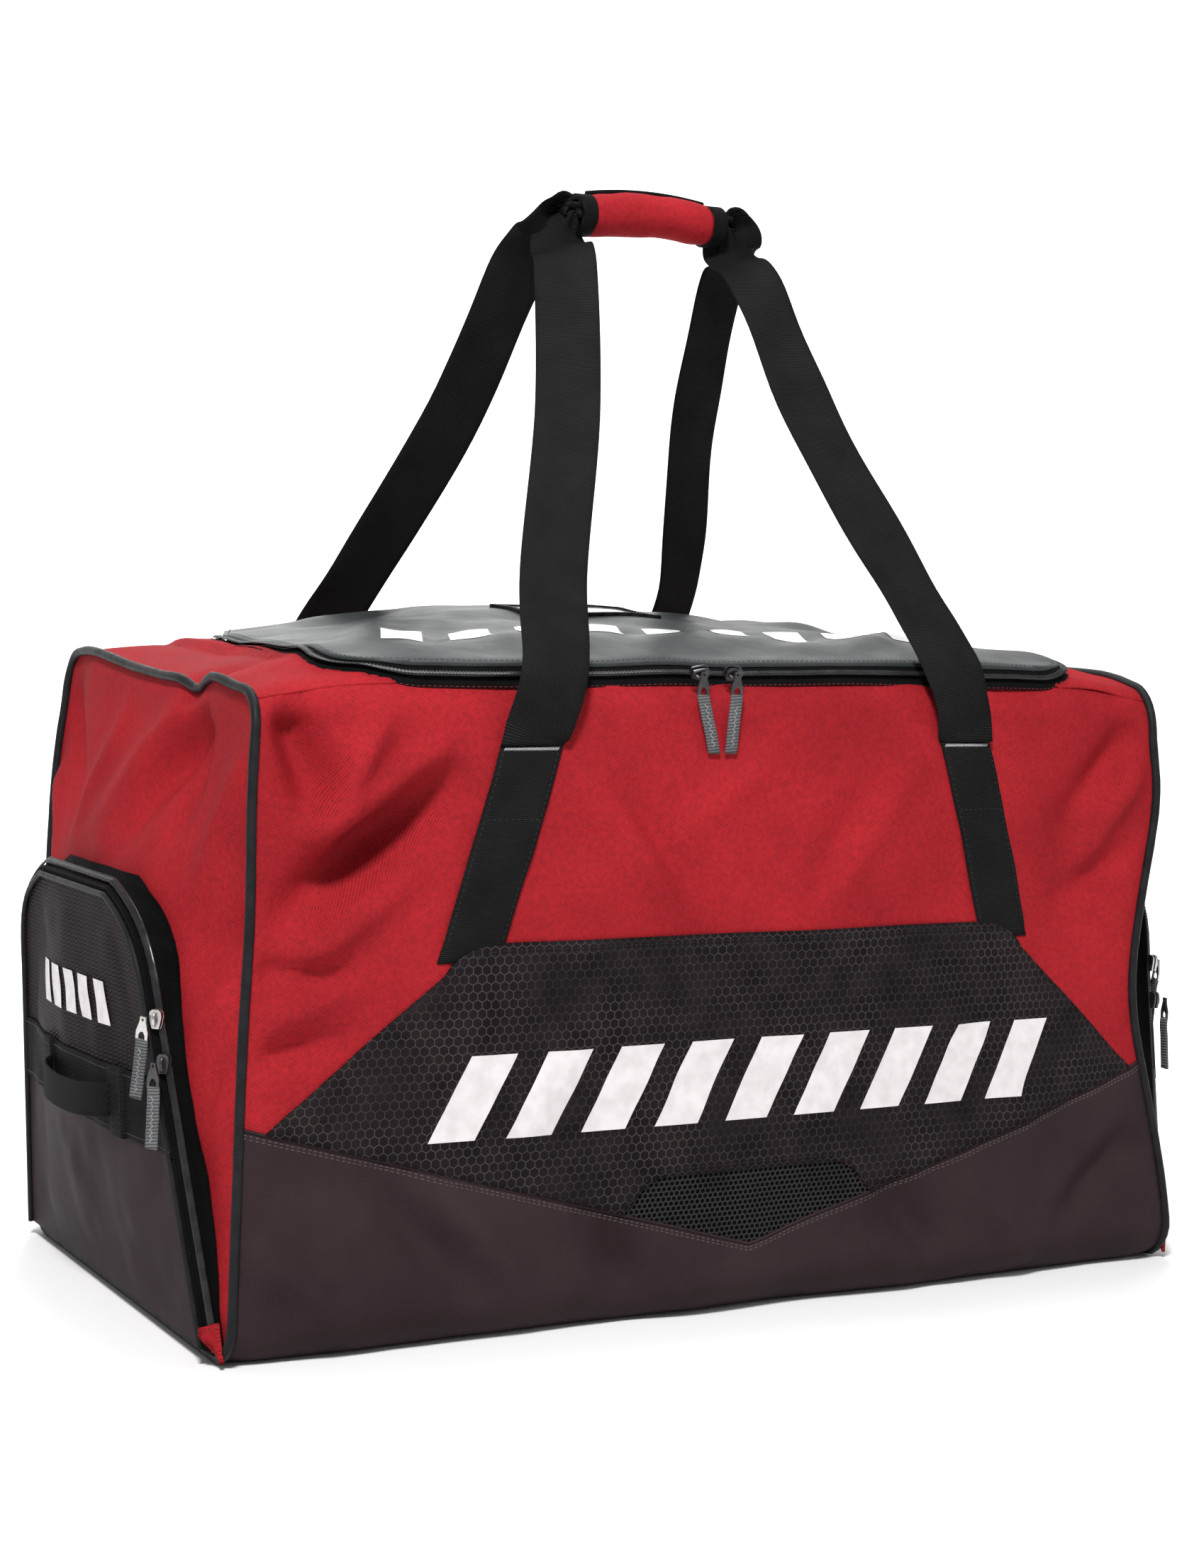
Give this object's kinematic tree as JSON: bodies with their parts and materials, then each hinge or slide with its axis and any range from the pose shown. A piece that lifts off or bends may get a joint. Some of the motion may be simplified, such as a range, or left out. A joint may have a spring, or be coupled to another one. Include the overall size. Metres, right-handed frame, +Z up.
{
  "type": "hockey equipment bag",
  "caption": "Soft duffel-shaped ice hockey equipment bag with a zipped lid, carrying straps that meet in a padded handle wrap, and a zipped skate pocket on each end.",
  "frame": {"origin": "on the floor under the middle of the bounding box", "axes": "+Z up, +X along the length to the right end, the front of the bag faces -Y"},
  "size_m": [0.896, 0.4732, 0.8213],
  "materials": {
    "red_fabric": "twill weave, satin",
    "dark_fabric": "coated plain weave, satin",
    "overlay_fabric": "printed ripstop, satin",
    "mesh_fabric": "open mesh, matte",
    "lid_tarpaulin": "glossy, soft wrinkles",
    "window_vinyl": "clear, glossy",
    "black_webbing": "ribbed webbing, matte",
    "grey_webbing": "ribbed webbing, matte",
    "piping": "smooth, slightly glossy",
    "zip_black": "moulded coil and woven tape",
    "gunmetal": "dark plated, glossy",
    "silver_metal": "bright plated"
  },
  "bodies": {
    "bag": {"front_panel": "red_fabric", "back_panel": "red_fabric", "front_lower_panel": "dark_fabric", "back_lower_panel": "dark_fabric", "bottom_panel": "dark_fabric", "front_overlay": "overlay_fabric", "back_overlay": "overlay_fabric", "front_vent_mesh": "mesh_fabric", "left_end_panel": "red_fabric", "right_end_panel": "red_fabric", "left_end_piping": "piping", "right_end_piping": "piping", "left_top_gusset": "red_fabric", "right_top_gusset": "red_fabric", "lid_zip_tape": "zip_black", "lid_zip_coil": "zip_black", "left_pocket_gusset": "zip_black", "right_pocket_gusset": "zip_black", "front_left_strap_base": "black_webbing", "front_right_strap_base": "black_webbing", "back_left_strap_base": "black_webbing", "back_right_strap_base": "black_webbing"},
    "lid": {"lid_panel": "lid_tarpaulin", "card_window": "window_vinyl", "card_window_frame": "black_webbing"},
    "front_strap": {"front_left_strap_leg": "black_webbing", "front_right_strap_leg": "black_webbing", "front_strap_grip": "black_webbing", "handle_wrap": "red_fabric", "handle_wrap_left_binding": "black_webbing", "handle_wrap_right_binding": "black_webbing"},
    "back_strap": {"back_left_strap_leg": "black_webbing", "back_right_strap_leg": "black_webbing", "back_strap_grip": "black_webbing"},
    "lid_left_zip_slider": {"lid_left_slider": "gunmetal"},
    "lid_left_zip_pull": {"lid_left_pull": "gunmetal", "lid_left_tab": "grey_webbing"},
    "lid_right_zip_slider": {"lid_right_slider": "gunmetal"},
    "lid_right_zip_pull": {"lid_right_pull": "gunmetal", "lid_right_tab": "grey_webbing"},
    "left_pocket_door": {"left_pocket_upper_panel": "mesh_fabric", "left_pocket_band": "black_webbing", "left_pocket_lower_panel": "dark_fabric", "left_grab_handle": "black_webbing"},
    "left_pocket_upper_zip_slider": {"left_pocket_upper_slider": "silver_metal"},
    "left_pocket_upper_zip_pull": {"left_pocket_upper_pull": "silver_metal", "left_pocket_upper_tab": "grey_webbing"},
    "left_pocket_lower_zip_slider": {"left_pocket_lower_slider": "gunmetal"},
    "left_pocket_lower_zip_pull": {"left_pocket_lower_pull": "gunmetal", "left_pocket_lower_tab": "grey_webbing"},
    "right_pocket_door": {"right_pocket_upper_panel": "mesh_fabric", "right_pocket_band": "black_webbing", "right_pocket_lower_panel": "dark_fabric", "right_grab_handle": "black_webbing"},
    "right_pocket_upper_zip_slider": {"right_pocket_upper_slider": "silver_metal"},
    "right_pocket_upper_zip_pull": {"right_pocket_upper_pull": "silver_metal", "right_pocket_upper_tab": "grey_webbing"},
    "right_pocket_lower_zip_slider": {"right_pocket_lower_slider": "gunmetal"},
    "right_pocket_lower_zip_pull": {"right_pocket_lower_pull": "gunmetal", "right_pocket_lower_tab": "grey_webbing"}
  },
  "joints": [
    {"name": "lid_hinge", "type": "hinge", "parent": "bag", "child": "lid", "pos_m": [0, 0.171, 0.4625], "axis": [-1, 0, 0], "range_deg": [0, 100]},
    {"name": "front_strap_swing", "type": "hinge", "parent": "bag", "child": "front_strap", "pos_m": [0, -0.2298, 0.41], "axis": [1, 0, 0], "range_deg": [0, 120]},
    {"name": "back_strap_swing", "type": "hinge", "parent": "bag", "child": "back_strap", "pos_m": [0, 0.21572, 0.41], "axis": [-1, 0, 0], "range_deg": [0, 120]},
    {"name": "lid_left_slider_run", "type": "slide", "parent": "bag", "child": "lid_left_zip_slider", "axis": [-1, 0, 0], "range_m": [0, 0.078]},
    {"name": "lid_left_pull_swing", "type": "hinge", "parent": "lid_left_zip_slider", "child": "lid_left_zip_pull", "pos_m": [-0.04839, -0.23353, 0.45868], "axis": [-1, 0, 0], "range_deg": [0, 140]},
    {"name": "lid_right_slider_run", "type": "slide", "parent": "bag", "child": "lid_right_zip_slider", "axis": [1, 0, 0], "range_m": [0, 0.15]},
    {"name": "lid_right_pull_swing", "type": "hinge", "parent": "lid_right_zip_slider", "child": "lid_right_zip_pull", "pos_m": [-0.02129, -0.23353, 0.45868], "axis": [-1, 0, 0], "range_deg": [0, 140]},
    {"name": "left_pocket_opening", "type": "hinge", "parent": "bag", "child": "left_pocket_door", "pos_m": [-0.3985, 0, 0.012], "axis": [0, -1, 0], "range_deg": [0, 65]},
    {"name": "left_pocket_upper_slider_run", "type": "slide", "parent": "left_pocket_door", "child": "left_pocket_upper_zip_slider", "axis": [-0.0972, 0.2414, 0.9655], "range_m": [0, 0.012]},
    {"name": "left_pocket_upper_pull_swing", "type": "hinge", "parent": "left_pocket_upper_zip_slider", "child": "left_pocket_upper_zip_pull", "pos_m": [-0.42605, -0.1555, 0.226], "axis": [0, 1, 0], "range_deg": [0, 140]},
    {"name": "left_pocket_lower_slider_run", "type": "slide", "parent": "left_pocket_door", "child": "left_pocket_lower_zip_slider", "axis": [0.0972, -0.2414, -0.9655], "range_m": [0, 0.115]},
    {"name": "left_pocket_lower_pull_swing", "type": "hinge", "parent": "left_pocket_lower_zip_slider", "child": "left_pocket_lower_zip_pull", "pos_m": [-0.42313, -0.16875, 0.197], "axis": [0, 1, 0], "range_deg": [0, 140]},
    {"name": "right_pocket_opening", "type": "hinge", "parent": "bag", "child": "right_pocket_door", "pos_m": [0.3985, 0, 0.012], "axis": [0, 1, 0], "range_deg": [0, 65]},
    {"name": "right_pocket_upper_slider_run", "type": "slide", "parent": "right_pocket_door", "child": "right_pocket_upper_zip_slider", "axis": [0.0972, 0.2414, 0.9655], "range_m": [0, 0.012]},
    {"name": "right_pocket_upper_pull_swing", "type": "hinge", "parent": "right_pocket_upper_zip_slider", "child": "right_pocket_upper_zip_pull", "pos_m": [0.42605, -0.1555, 0.226], "axis": [0, -1, 0], "range_deg": [0, 140]},
    {"name": "right_pocket_lower_slider_run", "type": "slide", "parent": "right_pocket_door", "child": "right_pocket_lower_zip_slider", "axis": [-0.0972, -0.2414, -0.9655], "range_m": [0, 0.115]},
    {"name": "right_pocket_lower_pull_swing", "type": "hinge", "parent": "right_pocket_lower_zip_slider", "child": "right_pocket_lower_zip_pull", "pos_m": [0.42313, -0.16875, 0.197], "axis": [0, -1, 0], "range_deg": [0, 140]}
  ],
  "couplings": [
    {"joint": "front_strap_swing", "follows": "lid_hinge", "ratio": 1.2},
    {"joint": "back_strap_swing", "follows": "lid_hinge", "ratio": 1.2}
  ]
}
